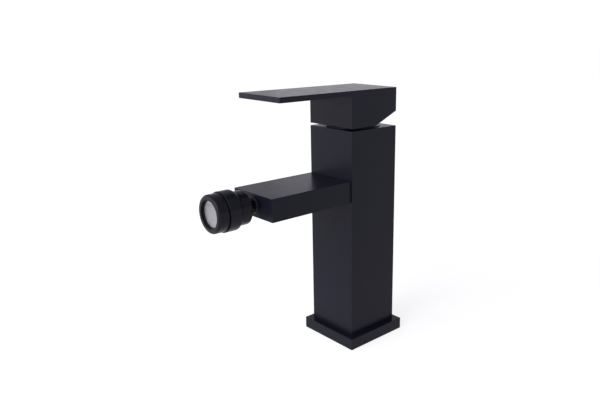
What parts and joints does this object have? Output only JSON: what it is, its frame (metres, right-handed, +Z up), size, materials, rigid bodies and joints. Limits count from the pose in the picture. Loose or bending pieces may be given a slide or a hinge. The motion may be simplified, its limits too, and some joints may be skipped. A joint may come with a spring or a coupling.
{
  "type": "bidet mixer",
  "caption": "Single-lever deck-mounted bidet mixer: square column on a base plate, flat spout with swivelling nozzle, flat lever over a ceramic disc cartridge.",
  "frame": {"origin": "centre of the base plate's underside, on the column's axis, in the plane of the deck", "axes": "+Z up along the column, -Y along the spout and the lever, +X to the right seen from the front"},
  "size_m": [0.0542, 0.1527, 0.1937],
  "materials": {
    "black_coat": "satin black coating on brass, faintly blue",
    "black_nozzle": "semi-gloss black coating on turned brass",
    "black_plug": "moulded black",
    "steel": "turned stainless steel",
    "strainer": "fine stainless mesh",
    "plain_brass": "machined, uncoated",
    "rubber": "moulded black",
    "grey_plastic": "moulded acetal",
    "white_plastic": "moulded acetal",
    "white_ceramic": "lapped alumina"
  },
  "bodies": {
    "mixer": {"base_plate": "black_coat", "base_gasket": "rubber", "body": "black_coat", "spout": "black_coat", "spout_nipple": "plain_brass", "nipple_seals": "rubber", "spout_screw": "steel", "stub_seal": "rubber", "ball_stub": "black_nozzle", "cartridge_base": "grey_plastic", "port_seals": "rubber", "fixed_disc": "white_ceramic", "cartridge_housing": "grey_plastic", "cartridge_nut": "plain_brass", "dome_cover": "black_coat"},
    "turning_core": {"rotor": "white_plastic", "rotor_seal": "rubber", "pivot_pin": "steel"},
    "lever": {"stem": "steel", "handle": "black_coat", "grub_screw": "steel", "screw_cover": "black_plug"},
    "disc_slider": {"disc_carrier": "grey_plastic", "moving_disc": "white_ceramic"},
    "pan_ring": {"ball_seal": "rubber"},
    "tilt_ring": {"friction_ring": "white_plastic"},
    "nozzle": {"socket_nut": "black_nozzle", "nozzle_housing": "black_nozzle", "aerator_collar": "black_nozzle", "aerator_insert": "white_plastic", "insert_seal": "rubber", "mesh_screen": "strainer"}
  },
  "joints": [
    {"name": "lever_turn", "type": "hinge", "parent": "mixer", "child": "turning_core", "pos_m": [0, 0, 0.169], "axis": [0, 0, 1], "range_deg": [-50, 50]},
    {"name": "lever_lift", "type": "hinge", "parent": "turning_core", "child": "lever", "pos_m": [0, 0, 0.169], "axis": [-1, 0, 0], "range_deg": [0, 22]},
    {"name": "disc_slide", "type": "slide", "parent": "turning_core", "child": "disc_slider", "axis": [0, -1, 0], "range_m": [0, 0.0042]},
    {"name": "nozzle_pan", "type": "hinge", "parent": "mixer", "child": "pan_ring", "pos_m": [0, -0.1058, 0.1218], "axis": [0, 0, 1], "range_deg": [-12, 12]},
    {"name": "nozzle_tilt", "type": "hinge", "parent": "pan_ring", "child": "tilt_ring", "pos_m": [0, -0.1058, 0.1218], "axis": [1, 0, 0], "range_deg": [-12, 12]},
    {"name": "nozzle_spin", "type": "hinge", "parent": "tilt_ring", "child": "nozzle", "pos_m": [0, -0.1058, 0.1218], "axis": [0, 1, 0], "continuous": true}
  ],
  "couplings": [
    {"joint": "disc_slide", "follows": "lever_lift", "m_per_rad": 0.0108}
  ]
}
